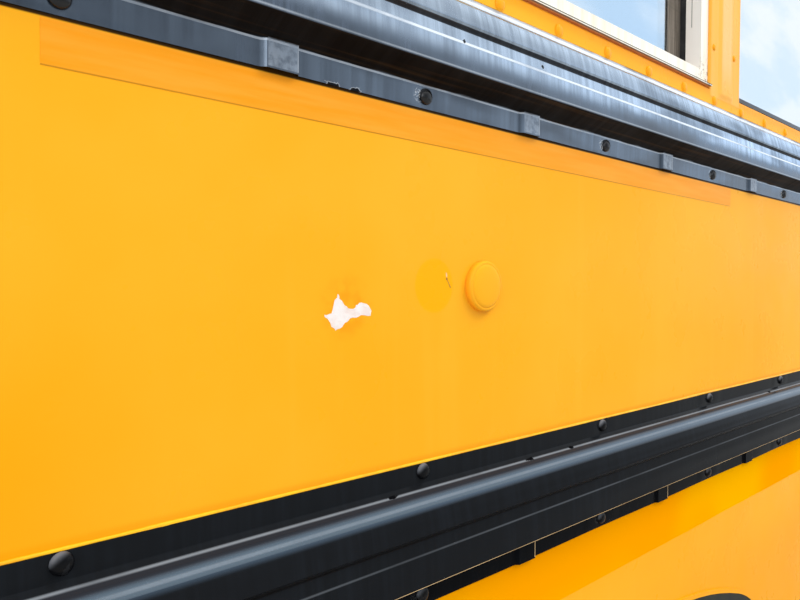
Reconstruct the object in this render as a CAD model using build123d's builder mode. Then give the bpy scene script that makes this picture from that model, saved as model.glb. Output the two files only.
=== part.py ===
"""School bus body side wall section: three window bays between four posts, with the wheel arch below.

Seen from outside, +X runs to the right, +Y runs inwards and +Z runs up. Y = 0 is the outer face of the skin
and Z = 0 is the floor line. X = 0 is the middle of the section. Millimetres.
"""

from build123d import *
from math import ceil, sqrt
import os

os.makedirs("parts", exist_ok=True)

# Sheet thicknesses
skin_sheet = 1.2
rail_sheet = 1.5
post_sheet = 1.5
cover_sheet = 1.5
stiffener_sheet = 1.5
sill_sheet = 3.0
clearance = 0.3

# Bays and posts
post_pitch = 711.2
post_count = 4
end_margin = 65.2
section_length = (post_count - 1) * post_pitch + 2 * end_margin
start_x = -section_length / 2
end_x = section_length / 2
post_xs = [(number - (post_count - 1) / 2) * post_pitch for number in range(post_count)]
bay_xs = [left + post_pitch / 2 for left in post_xs[:-1]]

# Heights from the floor line
hem_z = -508.0
lower_rail_z = 80.0
rail_height = 150.0
name_height = 366.0
seam_rise = 75.0
sill_rise = 7.0
opening_height = 657.0
header_height = 90.0
upper_rail_z = lower_rail_z + rail_height + name_height
sill_z = upper_rail_z + rail_height + sill_rise
header_z = sill_z + opening_height
roof_z = header_z + header_height
panel_seam_z = lower_rail_z + seam_rise

# Rub rail section, one row for each corner: how far out, height above its lower edge, bend radius
rail_depth = 30.0
flange_height = 26.0
rail_section = [
    (rail_sheet, 0.0, None),
    (rail_sheet, flange_height, 2.0),
    (rail_depth, 37.0, 10.0),
    (rail_depth, 69.0, 4.0),
    (24.0, 84.0, 1.6),
    (rail_depth, 88.0, 3.0),
    (rail_depth, 117.0, 9.0),
    (14.0, 123.5, 3.0),
    (6.0, 125.0, 1.5),
    (rail_sheet, 129.0, 1.5),
    (rail_sheet, rail_height, None),
]
bolt_pitch = post_pitch / 2
bolt_offset = 45.2

# Drain joggles pressed out of a rail's lower flange
joggle_width = 30.0
joggle_ramp = 5.0
joggle_proud = 5.0
joggle_rise = 1.5

# Body posts, floor sill and roof rail
post_depth = 46.0
post_crown = 26.0
post_root = 30.0
post_half_width = 62.7
post_bend = 3.0
sill_depth = 90.0
sill_drop = 60.0
sill_lip = 30.0
sill_bend = 5.0
roof_rise = 30.0
foot_bolt_x = 160.0
foot_bolt_y = 30.0
foot_bolt_mid_y = 45.0
foot_hole_r = 5.5
roof_bolt_x = 150.0
roof_bolt_y = 36.0

# Post covers
cover_half_width = 64.5
cover_out = 3.0
cover_return = 6.0
cover_crown_out = 2.5
cover_crown_half = 22.0
cover_crown_ramp = 10.0
cover_bend = 2.5

# Stiffeners behind the skins
channel_height = 40.0
channel_depth = 40.0
stringer_depth = 20.0
stringer_crown = 18.0
stringer_root = 22.0
stringer_half = 42.0
stringer_zs = (310.0, 520.0)
brace_depth = 30.0
brace_crown = 16.0
brace_root = 20.0
brace_half = 40.0
brace_xs = (post_xs[0], -640.0, 860.0, post_xs[3])

# Belt strip over the upper rail's top flange
strip_height = 25.0
strip_depth = 46.0
strip_bend = 2.5

# Gutter over the windows
gutter_drop = 30.0
gutter_z = roof_z - gutter_drop
gutter_out = 16.0
gutter_height = 22.0
gutter_lip = 8.0
gutter_bend = 3.0

# Window frames and sashes
frame_face = 28.0
frame_front = 1.5
frame_step = 27.5
frame_back = 55.5
rebate = 14.0
lip_out = 8.5
lip_low = 3.0
lip_thick = 3.0
groove = 1.2
seal_depth = 10.0
sash_depth = 8.0
sash_stile = 60.0
sash_rail = 34.0
sash_overlap = 26.0
glass_thick = 4.0
latch_size = (46.0, 12.0, 16.0)
latch_chamfer = 2.5
latch_in = 90.0
window_width = post_pitch - 2 * (cover_half_width + clearance)

# Fixed pane in its rubber gasket
gasket_front_lip = 3.0
gasket_back_lip = 14.0
gasket_bite = 1.5
gasket_lip_thick = 3.0
fixed_glass_thick = 5.0
gasket_back_thick = 6.5

# Inside trim
lining_sheet = 1.2
cap_drop = 40.0
cap_depth = 25.0
cap_lip = 10.0
cap_bend = 3.0
seat_rail_z = 340.0
seat_rail_drop = 40.0
seat_rail_depth = 35.0
seat_rail_lip = 10.0
seat_rail_bend = 4.0

# Round side lamp
lamp_x = -306.0
lamp_rise = 184.0
lamp_z = lower_rail_z + rail_height + lamp_rise
lamp_r = 28.5
lamp_lens_r = 24.5
lamp_out = 10.0
lamp_socket_r = 12.0
lamp_seat_thick = 4.0
lamp_rim_height = 2.5
lamp_rim_chamfer = 1.0
lamp_lens_chamfer = 2.5
lamp_hole_clearance = 1.0

# Wheel arch
arch_x = 78.0
arch_top_z = -102.0
arch_half_width = 580.0
arch_top_r = 1150.0
arch_corner_r = 300.0
arch_cut_drop = 40.0
arch_lip_width = 8.0
arch_lip_out = 3.0
arch_trim_width = 24.0
arch_trim_out = 2.0
arch_trim_depth = 14.0
arch_flange_lap = 25.0
arch_flange_depth = 120.0
hem_flange = 20.0
skirt_rail_gap = 12.0


def wall_plane(y):
    """Plane of the wall at the given depth, looking at it from outside."""
    return Plane.XZ.offset(-y)


def finish(made, name):
    made.part.label = name
    export_step(made.part, f"parts/{name}.step")


def bent_line(points, radii):
    """Line of a sheet's section. Sheets with no radii are folded sharp."""
    if radii is None:
        Polyline(*points)
    else:
        FilletPolyline(*points, radius=radii)


def sheet_run(points, radii, sheet, side, x_low, x_high):
    """Sheet bent along points of the YZ section and run from x_low to x_high."""
    with BuildPart() as run:
        with BuildSketch(Plane.YZ.offset(x_low)):
            with BuildLine():
                bent_line(points, radii)
                offset(amount=sheet, side=side)
            make_face()
        extrude(amount=x_high - x_low)
    return run.part


def upright_hat(centre_x, back_y, depth, crown, root, half, sheet, radii, z_low, z_high):
    """Vertical hat section with its flanges on back_y and its crown inboard."""
    corners = [
        (centre_x - half, back_y),
        (centre_x - root, back_y),
        (centre_x - crown, back_y + depth - sheet),
        (centre_x + crown, back_y + depth - sheet),
        (centre_x + root, back_y),
        (centre_x + half, back_y),
    ]
    with BuildPart() as hat:
        with BuildSketch(Plane.XY.offset(z_low)):
            with BuildLine():
                bent_line(corners, radii)
                offset(amount=sheet, side=Side.LEFT)
            make_face()
        extrude(amount=z_high - z_low)
    return hat.part


def panel(x_low, x_high, z_low, z_high, y_out, y_in):
    """Flat sheet on the wall."""
    with BuildPart() as flat:
        with BuildSketch(wall_plane(y_in)):
            with Locations(((x_low + x_high) / 2, (z_low + z_high) / 2)):
                Rectangle(x_high - x_low, z_high - z_low)
        extrude(amount=y_in - y_out)
    return flat.part


def ring(centre_x, centre_z, outer, inner, y_out, y_in):
    """Rectangular ring on the wall from outer and inner (width, height)."""
    with BuildPart() as loop:
        with BuildSketch(wall_plane(y_in)):
            with Locations((centre_x, centre_z)):
                Rectangle(*outer)
                Rectangle(*inner, mode=Mode.SUBTRACT)
        extrude(amount=y_in - y_out)
    return loop.part


def arch_outline(grow):
    """Arch opening on the wall, grown by the given amount, open at the hem."""
    top_r = arch_top_r + grow
    corner_r = arch_corner_r + grow
    half = arch_half_width + grow
    top_centre_z = arch_top_z - arch_top_r
    corner_x = half - corner_r
    corner_z = top_centre_z + sqrt((top_r - corner_r) ** 2 - corner_x**2)
    reach = top_r / (top_r - corner_r)
    join_x = corner_x * reach
    join_z = top_centre_z + (corner_z - top_centre_z) * reach
    halfway = Vector(1, 0) + Vector(corner_x, corner_z - top_centre_z).normalized()
    mid = Vector(corner_x, corner_z) + halfway.normalized() * corner_r
    foot_z = hem_z - arch_cut_drop
    left_join = (arch_x - join_x, join_z)
    right_join = (arch_x + join_x, join_z)
    Line((arch_x - half, foot_z), (arch_x - half, corner_z))
    ThreePointArc((arch_x - half, corner_z), (arch_x - mid.X, mid.Y), left_join)
    ThreePointArc(left_join, (arch_x, arch_top_z + grow), right_join)
    ThreePointArc(right_join, (arch_x + mid.X, mid.Y), (arch_x + half, corner_z))
    Line((arch_x + half, corner_z), (arch_x + half, foot_z))
    Line((arch_x + half, foot_z), (arch_x - half, foot_z))


def arch_band(outer_grow, inner_grow, y_out, y_in, foot_z):
    """Band that follows the arch, between two grown outlines, cut level at foot_z."""
    with BuildPart() as band:
        with BuildSketch(wall_plane(y_in)):
            with BuildLine():
                arch_outline(outer_grow)
            make_face()
            with BuildLine():
                arch_outline(inner_grow)
            make_face(mode=Mode.SUBTRACT)
        extrude(amount=y_in - y_out)
        split(bisect_by=Plane.XY.offset(foot_z), keep=Keep.TOP)
    return band.part


# Name panel, with the side lamp's hole
with BuildPart() as name_panel:
    add(panel(start_x, end_x, panel_seam_z, sill_z - cover_sheet, 0, skin_sheet))
    with BuildSketch(wall_plane(skin_sheet)):
        with Locations((lamp_x, lamp_z)):
            Circle(lamp_socket_r + lamp_hole_clearance)
    extrude(amount=skin_sheet, mode=Mode.SUBTRACT)
finish(name_panel, "name_panel")

# Skirt panel, with the hem turned in and the arch's rolled lip
with BuildPart() as skirt_panel:
    add(panel(start_x, end_x, hem_z, panel_seam_z, 0, skin_sheet))
    add(panel(start_x, end_x, hem_z, hem_z + skin_sheet, 0, hem_flange))
    with BuildSketch(wall_plane(hem_flange)):
        with BuildLine():
            arch_outline(0)
        make_face()
    extrude(amount=hem_flange, mode=Mode.SUBTRACT)
    add(arch_band(arch_lip_width, 0, -arch_lip_out, 0, hem_z))
finish(skirt_panel, "skirt_panel")


def rub_rail(x_low, x_high, base_z, joggle_xs):
    """Corrugated rub rail with drain joggles in its lower flange."""
    corners = [(-out, base_z + up) for out, up, _ in rail_section]
    radii = [radius for _, _, radius in rail_section[1:-1]]
    top_half = joggle_width / 2
    foot_half = top_half + joggle_ramp
    outside = joggle_proud + rail_sheet
    with BuildPart() as rail:
        add(sheet_run(corners, radii, rail_sheet, Side.RIGHT, x_low, x_high))
        with BuildSketch(Plane.XY.offset(base_z)):
            with Locations(*[(x, 0) for x in joggle_xs]):
                Polygon(
                    (-foot_half - rail_sheet, 0),
                    (-top_half - rail_sheet, -outside),
                    (top_half + rail_sheet, -outside),
                    (foot_half + rail_sheet, 0),
                    align=None,
                )
        extrude(amount=flange_height + joggle_rise)
        with BuildSketch(Plane.XY.offset(base_z)):
            with Locations(*[(x, 0) for x in joggle_xs]):
                Polygon(
                    (-foot_half, 0),
                    (-top_half, -joggle_proud),
                    (top_half, -joggle_proud),
                    (foot_half, 0),
                    align=None,
                )
        extrude(amount=flange_height, mode=Mode.SUBTRACT)
    return rail


def joggles_between(x_low, x_high):
    """Joggles lie midway between the rail's bolts."""
    first = post_xs[0] - bolt_offset + bolt_pitch / 2
    places = [first + number * bolt_pitch for number in range(ceil(section_length / bolt_pitch))]
    return [x for x in places if x_low + joggle_width < x < x_high - joggle_width]


# Upper and lower rub rails, one on each edge of the name panel
for name, base_z in (("upper_rub_rail", upper_rail_z), ("lower_rub_rail", lower_rail_z)):
    finish(rub_rail(start_x, end_x, base_z, joggles_between(start_x, end_x)), name)

# Skirt rails along the hem, either side of the arch
arch_edge = arch_half_width + arch_lip_width + skirt_rail_gap
with BuildPart() as skirt_rails:
    for x_low, x_high in ((start_x, arch_x - arch_edge), (arch_x + arch_edge, end_x)):
        add(rub_rail(x_low, x_high, hem_z, joggles_between(x_low, x_high)).part)
finish(skirt_rails, "skirt_rails")

# Body posts, from the floor sill up to the roof rail
for number, post_x in enumerate(post_xs, start=1):
    with BuildPart() as body_post:
        add(
            upright_hat(
                post_x, skin_sheet, post_depth, post_crown, post_root,
                post_half_width, post_sheet, post_bend, 0, roof_z,
            )
        )
    finish(body_post, f"body_post_{number}")

# Post covers, returned round the edges of the posts
post_back = skin_sheet + post_depth
crown_root = cover_crown_half + cover_crown_ramp
cover_half_section = [
    (cover_half_width, cover_return),
    (cover_half_width, -cover_out),
    (crown_root, -cover_out),
    (cover_crown_half, -cover_out - cover_crown_out),
]
for number, post_x in enumerate(post_xs, start=1):
    right_side = [(post_x + x, y) for x, y in cover_half_section]
    left_side = [(post_x - x, y) for x, y in reversed(cover_half_section)]
    with BuildPart() as post_cover:
        with BuildSketch(Plane.XY.offset(sill_z)):
            with BuildLine():
                FilletPolyline(*right_side, *left_side, radius=cover_bend)
                offset(amount=cover_sheet, side=Side.RIGHT)
            make_face()
        extrude(amount=opening_height)
    finish(post_cover, f"post_cover_{number}")

# Belt strip: down over the rail's top flange, and in as the window sill, notched round the posts
strip_low_z = sill_z - strip_height
strip_out = rail_sheet + cover_sheet
with BuildPart() as belt_strip:
    corners = [(-strip_out, strip_low_z), (-strip_out, sill_z), (strip_depth, sill_z)]
    add(sheet_run(corners, strip_bend, cover_sheet, Side.RIGHT, start_x, end_x))
    notch_y = skin_sheet - clearance
    with BuildSketch(Plane.XY.offset(strip_low_z)):
        with Locations(*[(x, (notch_y + post_back) / 2) for x in post_xs]):
            Rectangle(2 * (post_half_width + clearance), post_back - notch_y)
    extrude(amount=strip_height, mode=Mode.SUBTRACT)
finish(belt_strip, "belt_strip")

# Header panel over the windows, and its gutter
with BuildPart() as header_panel:
    add(panel(start_x, end_x, header_z, roof_z + roof_rise, 0, skin_sheet))
finish(header_panel, "header_panel")

with BuildPart() as drip_rail:
    corners = [
        (0, gutter_z + gutter_height),
        (0, gutter_z),
        (-gutter_out, gutter_z),
        (-gutter_out, gutter_z + gutter_lip),
    ]
    add(sheet_run(corners, gutter_bend, cover_sheet, Side.RIGHT, start_x, end_x))
finish(drip_rail, "drip_rail")


def between_posts(corners, side):
    """One length of a folded sheet in each bay, between the edges of the posts' flanges."""
    with BuildPart() as lengths:
        for left in post_xs[:-1]:
            x_low = left + post_half_width + clearance
            x_high = left + post_pitch - post_half_width - clearance
            add(sheet_run(corners, None, stiffener_sheet, side, x_low, x_high))
    return lengths


# Channels that stiffen the wall under and over the windows
channel_in = skin_sheet + channel_depth
sill_channel_top = sill_z - cover_sheet
sill_channel_section = [
    (channel_in, sill_channel_top),
    (skin_sheet, sill_channel_top),
    (skin_sheet, sill_channel_top - channel_height),
    (channel_in, sill_channel_top - channel_height),
]
finish(between_posts(sill_channel_section, Side.LEFT), "sill_channels")

header_channel_section = [
    (channel_in, header_z + channel_height),
    (skin_sheet, header_z + channel_height),
    (skin_sheet, header_z),
    (channel_in, header_z),
]
finish(between_posts(header_channel_section, Side.LEFT), "header_channels")

# Two rows of hat stringers behind the name panel
with BuildPart() as side_stringers:
    for stringer_z in stringer_zs:
        stringer_in = skin_sheet + stringer_depth - stiffener_sheet
        corners = [
            (skin_sheet, stringer_z - stringer_half),
            (skin_sheet, stringer_z - stringer_root),
            (stringer_in, stringer_z - stringer_crown),
            (stringer_in, stringer_z + stringer_crown),
            (skin_sheet, stringer_z + stringer_root),
            (skin_sheet, stringer_z + stringer_half),
        ]
        add(between_posts(corners, Side.RIGHT).part)
finish(side_stringers, "side_stringers")


def bolt_holes(plane, spacing_x, spacing_y):
    """Four holes round each inner post, for the floor's crossmember or the roof's bow."""
    with BuildPart(mode=Mode.PRIVATE) as holes:
        with BuildSketch(plane):
            with Locations(*[(x, foot_bolt_mid_y) for x in post_xs[1:-1]]):
                with GridLocations(spacing_x, spacing_y, 2, 2):
                    Circle(foot_hole_r)
        extrude(amount=sill_sheet)
    return holes.part


# Floor sill: the posts stand on it and the floor's crossmembers bolt to it
with BuildPart() as floor_sill:
    corners = [
        (skin_sheet, -sill_drop),
        (skin_sheet, 0),
        (sill_depth, 0),
        (sill_depth, -sill_lip),
    ]
    add(sheet_run(corners, sill_bend, sill_sheet, Side.RIGHT, start_x, end_x))
    add(bolt_holes(Plane.XY.offset(-sill_sheet), foot_bolt_x, foot_bolt_y), mode=Mode.SUBTRACT)
finish(floor_sill, "floor_sill")

# Roof rail: it caps the posts and takes the roof
with BuildPart() as roof_rail:
    corners = [
        (skin_sheet, roof_z + roof_rise),
        (skin_sheet, roof_z),
        (sill_depth, roof_z),
        (sill_depth, roof_z + sill_lip),
    ]
    add(sheet_run(corners, sill_bend, sill_sheet, Side.LEFT, start_x, end_x))
    add(bolt_holes(Plane.XY.offset(roof_z), roof_bolt_x, roof_bolt_y), mode=Mode.SUBTRACT)
finish(roof_rail, "roof_rail")

# Braces behind the skirt, clear of the arch
with BuildPart() as skirt_braces:
    for brace_x in brace_xs:
        half = min(brace_half, end_margin)
        add(
            upright_hat(
                brace_x, skin_sheet, brace_depth, brace_crown, brace_root,
                half, stiffener_sheet, None, hem_z + skin_sheet, -sill_drop,
            )
        )
finish(skirt_braces, "skirt_braces")

# Inner lining below the windows, and the panel over them
with BuildPart() as inner_lining:
    add(panel(start_x, end_x, 0, sill_z - cover_sheet, post_back, post_back + lining_sheet))
finish(inner_lining, "inner_lining")

with BuildPart() as inner_header:
    add(panel(start_x, end_x, header_z, roof_z, post_back, post_back + lining_sheet))
finish(inner_header, "inner_header")

# Ledge along the top of the lining
lining_in = post_back + lining_sheet
with BuildPart() as inner_sill_cap:
    corners = [
        (lining_in, sill_z - cap_drop),
        (lining_in, sill_z),
        (lining_in + cap_depth, sill_z),
        (lining_in + cap_depth, sill_z - cap_lip),
    ]
    add(sheet_run(corners, cap_bend, cover_sheet, Side.RIGHT, start_x, end_x))
finish(inner_sill_cap, "inner_sill_cap")

# Rail that the seats hang on
with BuildPart() as seat_rail:
    corners = [
        (lining_in, seat_rail_z - seat_rail_drop),
        (lining_in, seat_rail_z),
        (lining_in + seat_rail_depth, seat_rail_z),
        (lining_in + seat_rail_depth, seat_rail_z - seat_rail_lip),
    ]
    add(sheet_run(corners, seat_rail_bend, stiffener_sheet, Side.RIGHT, start_x, end_x))
finish(seat_rail, "seat_rail")

# Sliding-sash windows in the first two bays
window_mid_z = sill_z + opening_height / 2
seal_in = frame_step + seal_depth
lower_sash_in = seal_in + sash_depth
upper_sash_in = lower_sash_in + clearance + sash_depth
sash_inset = rebate + clearance
sash_width = window_width - 2 * sash_inset
sash_height = opening_height / 2 - sash_inset + sash_overlap / 2
pane_width = sash_width - 2 * (sash_stile - clearance)
pane_height = sash_height - 2 * (sash_rail - clearance)
sashes = (
    # name, centre height, inner face
    ("lower_sash", sill_z + sash_inset + sash_height / 2, lower_sash_in),
    ("upper_sash", header_z - sash_inset - sash_height / 2, upper_sash_in),
)
window_size = (window_width, opening_height)
front_opening = (window_width - 2 * frame_face, opening_height - 2 * frame_face)
rebate_opening = (window_width - 2 * rebate, opening_height - 2 * rebate)
for number, bay_x in enumerate(bay_xs[:2], start=1):
    with BuildPart() as window_frame:
        add(ring(bay_x, window_mid_z, window_size, front_opening, frame_front, frame_step))
        add(ring(bay_x, window_mid_z, window_size, rebate_opening, frame_step, frame_back))
        lip_z = sill_z + lip_low
        left = bay_x - window_width / 2
        right = bay_x + window_width / 2
        add(panel(left, right, lip_z, lip_z + lip_thick, frame_front - lip_out, frame_front))
        groove_z = lip_z + lip_thick + groove
        groove_cut = panel(left, right, groove_z, groove_z + groove, frame_front, frame_front + groove)
        add(groove_cut, mode=Mode.SUBTRACT)
    finish(window_frame, f"window_frame_{number}")

    with BuildPart() as sash_seal:
        outer = (sash_width, opening_height - 2 * sash_inset)
        add(ring(bay_x, window_mid_z, outer, front_opening, frame_step, seal_in))
    finish(sash_seal, f"sash_seal_{number}")

    for sash_name, sash_z, inner_y in sashes:
        with BuildPart() as sash:
            outer = (sash_width, sash_height)
            add(ring(bay_x, sash_z, outer, (pane_width, pane_height), inner_y - sash_depth, inner_y))
        finish(sash, f"{sash_name}_{number}")

    with BuildPart() as window_glass:
        for _, sash_z, inner_y in sashes:
            left = bay_x - pane_width / 2
            low = sash_z - pane_height / 2
            glass_in = inner_y - (sash_depth - glass_thick) / 2
            add(panel(left, left + pane_width, low, low + pane_height, glass_in - glass_thick, glass_in))
    finish(window_glass, f"window_glass_{number}")

    # Thumb latches on the upper sash's lower rail
    latch_z = sashes[1][1] - sash_height / 2 + sash_rail / 2
    with BuildPart() as sash_latches:
        with BuildSketch(wall_plane(upper_sash_in + latch_size[1])):
            with Locations((bay_x, latch_z)):
                with GridLocations(window_width - 2 * latch_in, 1, 2, 1):
                    Rectangle(latch_size[0], latch_size[2])
        extrude(amount=latch_size[1])
        chamfer(sash_latches.faces().sort_by(Axis.Y)[-2:].edges(), latch_chamfer)
    finish(sash_latches, f"sash_latches_{number}")

# Fixed pane in the last bay
fixed_x = bay_xs[2]
fixed_out = frame_front + gasket_lip_thick
fixed_in = fixed_out + fixed_glass_thick
with BuildPart() as fixed_gasket:
    width, height = window_size
    layers = (
        # how wide the rubber is, outer face, inner face
        (gasket_front_lip, frame_front, fixed_out),
        (gasket_bite, fixed_out, fixed_in),
        (gasket_back_lip, fixed_in, fixed_in + gasket_back_thick),
    )
    for lip, y_out, y_in in layers:
        opening = (width - 2 * lip, height - 2 * lip)
        add(ring(fixed_x, window_mid_z, window_size, opening, y_out, y_in))
finish(fixed_gasket, "fixed_gasket")

with BuildPart() as fixed_glass:
    left = fixed_x - window_width / 2 + gasket_bite
    right = fixed_x + window_width / 2 - gasket_bite
    low = sill_z + gasket_bite
    high = header_z - gasket_bite
    add(panel(left, right, low, high, fixed_out, fixed_in))
finish(fixed_glass, "fixed_glass")

# Round side lamp: base with a raised rim and a socket through the panel, and its lens
lamp_plane = Plane(origin=(lamp_x, 0, lamp_z), x_dir=(1, 0, 0), z_dir=(0, 0, 1))
lens_seat_r = lamp_lens_r + clearance
rim_out = lamp_seat_thick + lamp_rim_height
with BuildPart() as lamp_base:
    with BuildSketch(lamp_plane):
        with BuildLine():
            Polyline(
                (0, -lamp_seat_thick),
                (lens_seat_r, -lamp_seat_thick),
                (lens_seat_r, -rim_out),
                (lamp_r, -rim_out),
                (lamp_r, 0),
                (lamp_socket_r, 0),
                (lamp_socket_r, skin_sheet),
                (0, skin_sheet),
                close=True,
            )
        make_face()
    revolve(axis=Axis((lamp_x, 0, lamp_z), (0, 1, 0)))
    chamfer(lamp_base.faces().sort_by(Axis.Y)[0].edges(), lamp_rim_chamfer)
finish(lamp_base, "lamp_base")

with BuildPart() as lamp_lens:
    with BuildSketch(wall_plane(-lamp_seat_thick)):
        with Locations((lamp_x, lamp_z)):
            Circle(lamp_lens_r)
    extrude(amount=lamp_out - lamp_seat_thick)
    chamfer(lamp_lens.faces().sort_by(Axis.Y)[0].edges(), lamp_lens_chamfer)
finish(lamp_lens, "lamp_lens")

# Wheel arch: rubber edge inside the lip, and the steel flange behind the skin
with BuildPart() as arch_trim:
    add(arch_band(-clearance, -arch_trim_width, -arch_trim_out, arch_trim_depth, hem_z))
finish(arch_trim, "arch_trim")

with BuildPart() as arch_flange:
    lap_in = skin_sheet + stiffener_sheet
    foot_z = hem_z + skin_sheet
    add(arch_band(arch_flange_lap, 0, skin_sheet, lap_in, foot_z))
    add(arch_band(stiffener_sheet, 0, skin_sheet, arch_flange_depth, foot_z))
finish(arch_flange, "arch_flange")
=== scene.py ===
"""Looks of the school bus side wall section: paint, fasteners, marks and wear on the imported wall.

Metres, in the wall's own frame: +X right as seen from outside, +Y into the bus, +Z up. Y = 0 is the
skin's outer face, Z = 0 the floor line and X = 0 the middle. Sizes in millimetres are multiplied by MM.
"""

import math
import random
from types import SimpleNamespace

import bpy
from mathutils import Matrix, Vector, noise


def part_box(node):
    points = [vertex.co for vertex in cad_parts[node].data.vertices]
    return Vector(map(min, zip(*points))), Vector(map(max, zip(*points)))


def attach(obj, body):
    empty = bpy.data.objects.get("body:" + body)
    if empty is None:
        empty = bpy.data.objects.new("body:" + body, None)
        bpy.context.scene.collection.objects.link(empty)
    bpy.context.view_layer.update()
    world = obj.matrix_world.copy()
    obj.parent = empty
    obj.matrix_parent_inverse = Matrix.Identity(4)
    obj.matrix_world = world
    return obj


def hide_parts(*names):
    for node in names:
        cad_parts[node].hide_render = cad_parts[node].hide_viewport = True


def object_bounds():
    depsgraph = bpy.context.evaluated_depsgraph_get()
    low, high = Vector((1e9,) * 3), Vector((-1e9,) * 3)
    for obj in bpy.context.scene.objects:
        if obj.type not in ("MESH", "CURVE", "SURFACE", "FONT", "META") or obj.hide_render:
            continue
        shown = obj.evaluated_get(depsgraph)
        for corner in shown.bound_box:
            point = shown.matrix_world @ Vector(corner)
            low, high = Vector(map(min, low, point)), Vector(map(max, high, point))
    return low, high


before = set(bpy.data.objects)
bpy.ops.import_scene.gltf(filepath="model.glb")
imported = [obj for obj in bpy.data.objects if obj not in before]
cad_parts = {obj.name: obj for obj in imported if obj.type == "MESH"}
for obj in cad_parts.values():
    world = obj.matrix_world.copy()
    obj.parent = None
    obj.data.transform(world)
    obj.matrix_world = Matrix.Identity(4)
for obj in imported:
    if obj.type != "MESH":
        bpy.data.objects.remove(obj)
cad_low, cad_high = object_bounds()

MM = 0.001
BODY = "root"
OUTWARD = Vector((0, -1, 0))
INWARD = Vector((0, 1, 0))
RIGHTWARD = Vector((1, 0, 0))
UPWARD = Vector((0, 0, 1))

# Places taken from the wall's own nodes
wall_low, wall_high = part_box("name_panel")
start_x = wall_low.x
end_x = wall_high.x
hem_z = cad_low.z
roof_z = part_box("roof_rail")[0].z
belt_low, belt_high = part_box("belt_strip")
belt_y = belt_low.y
sill_z = belt_high.z
header_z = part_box("header_panel")[0].z
upper_rail_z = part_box("upper_rub_rail")[0].z
lower_rail_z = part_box("lower_rub_rail")[0].z
lower_rail_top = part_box("lower_rub_rail")[1].z
rail_out = -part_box("upper_rub_rail")[0].y
lining_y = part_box("inner_lining")[1].y
cap_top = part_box("inner_sill_cap")[1].z
post_xs = [sum(corner.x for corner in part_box(f"body_post_{n}")) / 2 for n in range(1, 5)]
post_pitch = post_xs[1] - post_xs[0]
cover_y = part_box("post_cover_1")[0].y
arch_low, arch_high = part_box("arch_trim")
lamp_low, lamp_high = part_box("lamp_base")
lamp_x = (lamp_low.x + lamp_high.x) / 2
lamp_z = (lamp_low.z + lamp_high.z) / 2
lamp_radius = (lamp_high.x - lamp_low.x) / 2

# Fasteners
bolt_pitch = post_pitch / 2
bolt_aside = 45.2 * MM
bolt_first_x = post_xs[0] - bolt_aside
bolt_low = 12.5 * MM
bolt_high = 141.5 * MM
bolt_r = 8.5 * MM
bolt_rise = 5.5 * MM
bolt_margin = 15 * MM
joggle_margin = 30 * MM
joggle_origin = bolt_first_x + bolt_pitch / 2


def steps(first, pitch, low, high):
    """Places a pitch apart, through first, between low and high."""
    number = math.ceil((low - first) / pitch)
    places = []
    while first + number * pitch < high:
        places.append(first + number * pitch)
        number += 1
    return places


bolt_xs = steps(bolt_first_x, bolt_pitch, start_x + bolt_margin, end_x - bolt_margin)
joggle_xs = steps(joggle_origin, bolt_pitch, start_x + joggle_margin, end_x - joggle_margin)

# Rub rails, rebuilt with soft bends, dimples at the bolts and the slack between them. Millimetres
rail_sheet = 1.5
face_out = 29.7
rail_section = [
    # how far out, height above the lower edge, bend radius
    (rail_sheet, 0.0, 0.0),
    (rail_sheet, 25.0, 2.0),
    (face_out, 38.0, 3.5),
    (face_out, 69.0, 4.0),
    (23.6, 84.0, 1.6),
    (face_out, 88.0, 2.5),
    (face_out, 117.0, 9.0),
    (14.0, 123.5, 3.0),
    (6.0, 125.0, 1.5),
    (rail_sheet, 129.0, 1.0),
    (rail_sheet, 150.0, 0.0),
]
low_foot_section = [
    # the lower rails' face reaches further down
    (rail_sheet, 0.0, 0.0),
    (rail_sheet, 25.0, 2.0),
    (face_out, 33.0, 2.5),
    (face_out, 66.5, 4.0),
    (23.6, 81.0, 1.6),
    (face_out, 85.0, 2.5),
] + rail_section[6:]
flat_part = 3.2
bend_part = 12
flange_top = 25.0
joggle_top = 27.5
joggle_half = 16.0
joggle_left = 23.0
joggle_right = 18.0
joggle_out = 6.5
joggle_groove = 1.8
slack = 1.1
dimple = 0.5
dimple_sink = 2.2
dimple_reach = 11
dimple_height = 12
dimple_end = 40
crowned = ((40.0, 66.0), (88.0, 116.0))
crown = 0.55
wave = 0.3
waved_out = 12
least_out = 0.05
station_step = 9
station_gap = 1.2
joggle_stations = (-joggle_left, -19.5, -joggle_half, -13, 13, joggle_half, joggle_right, 19.5, 21)
bolt_stations = (0, 4, 8, 11, 14)
rail_gap = 20.3 * MM
skirt_spans = [(start_x, arch_low.x - rail_gap), (arch_high.x + rail_gap, end_x)]


# Shader helpers

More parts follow.
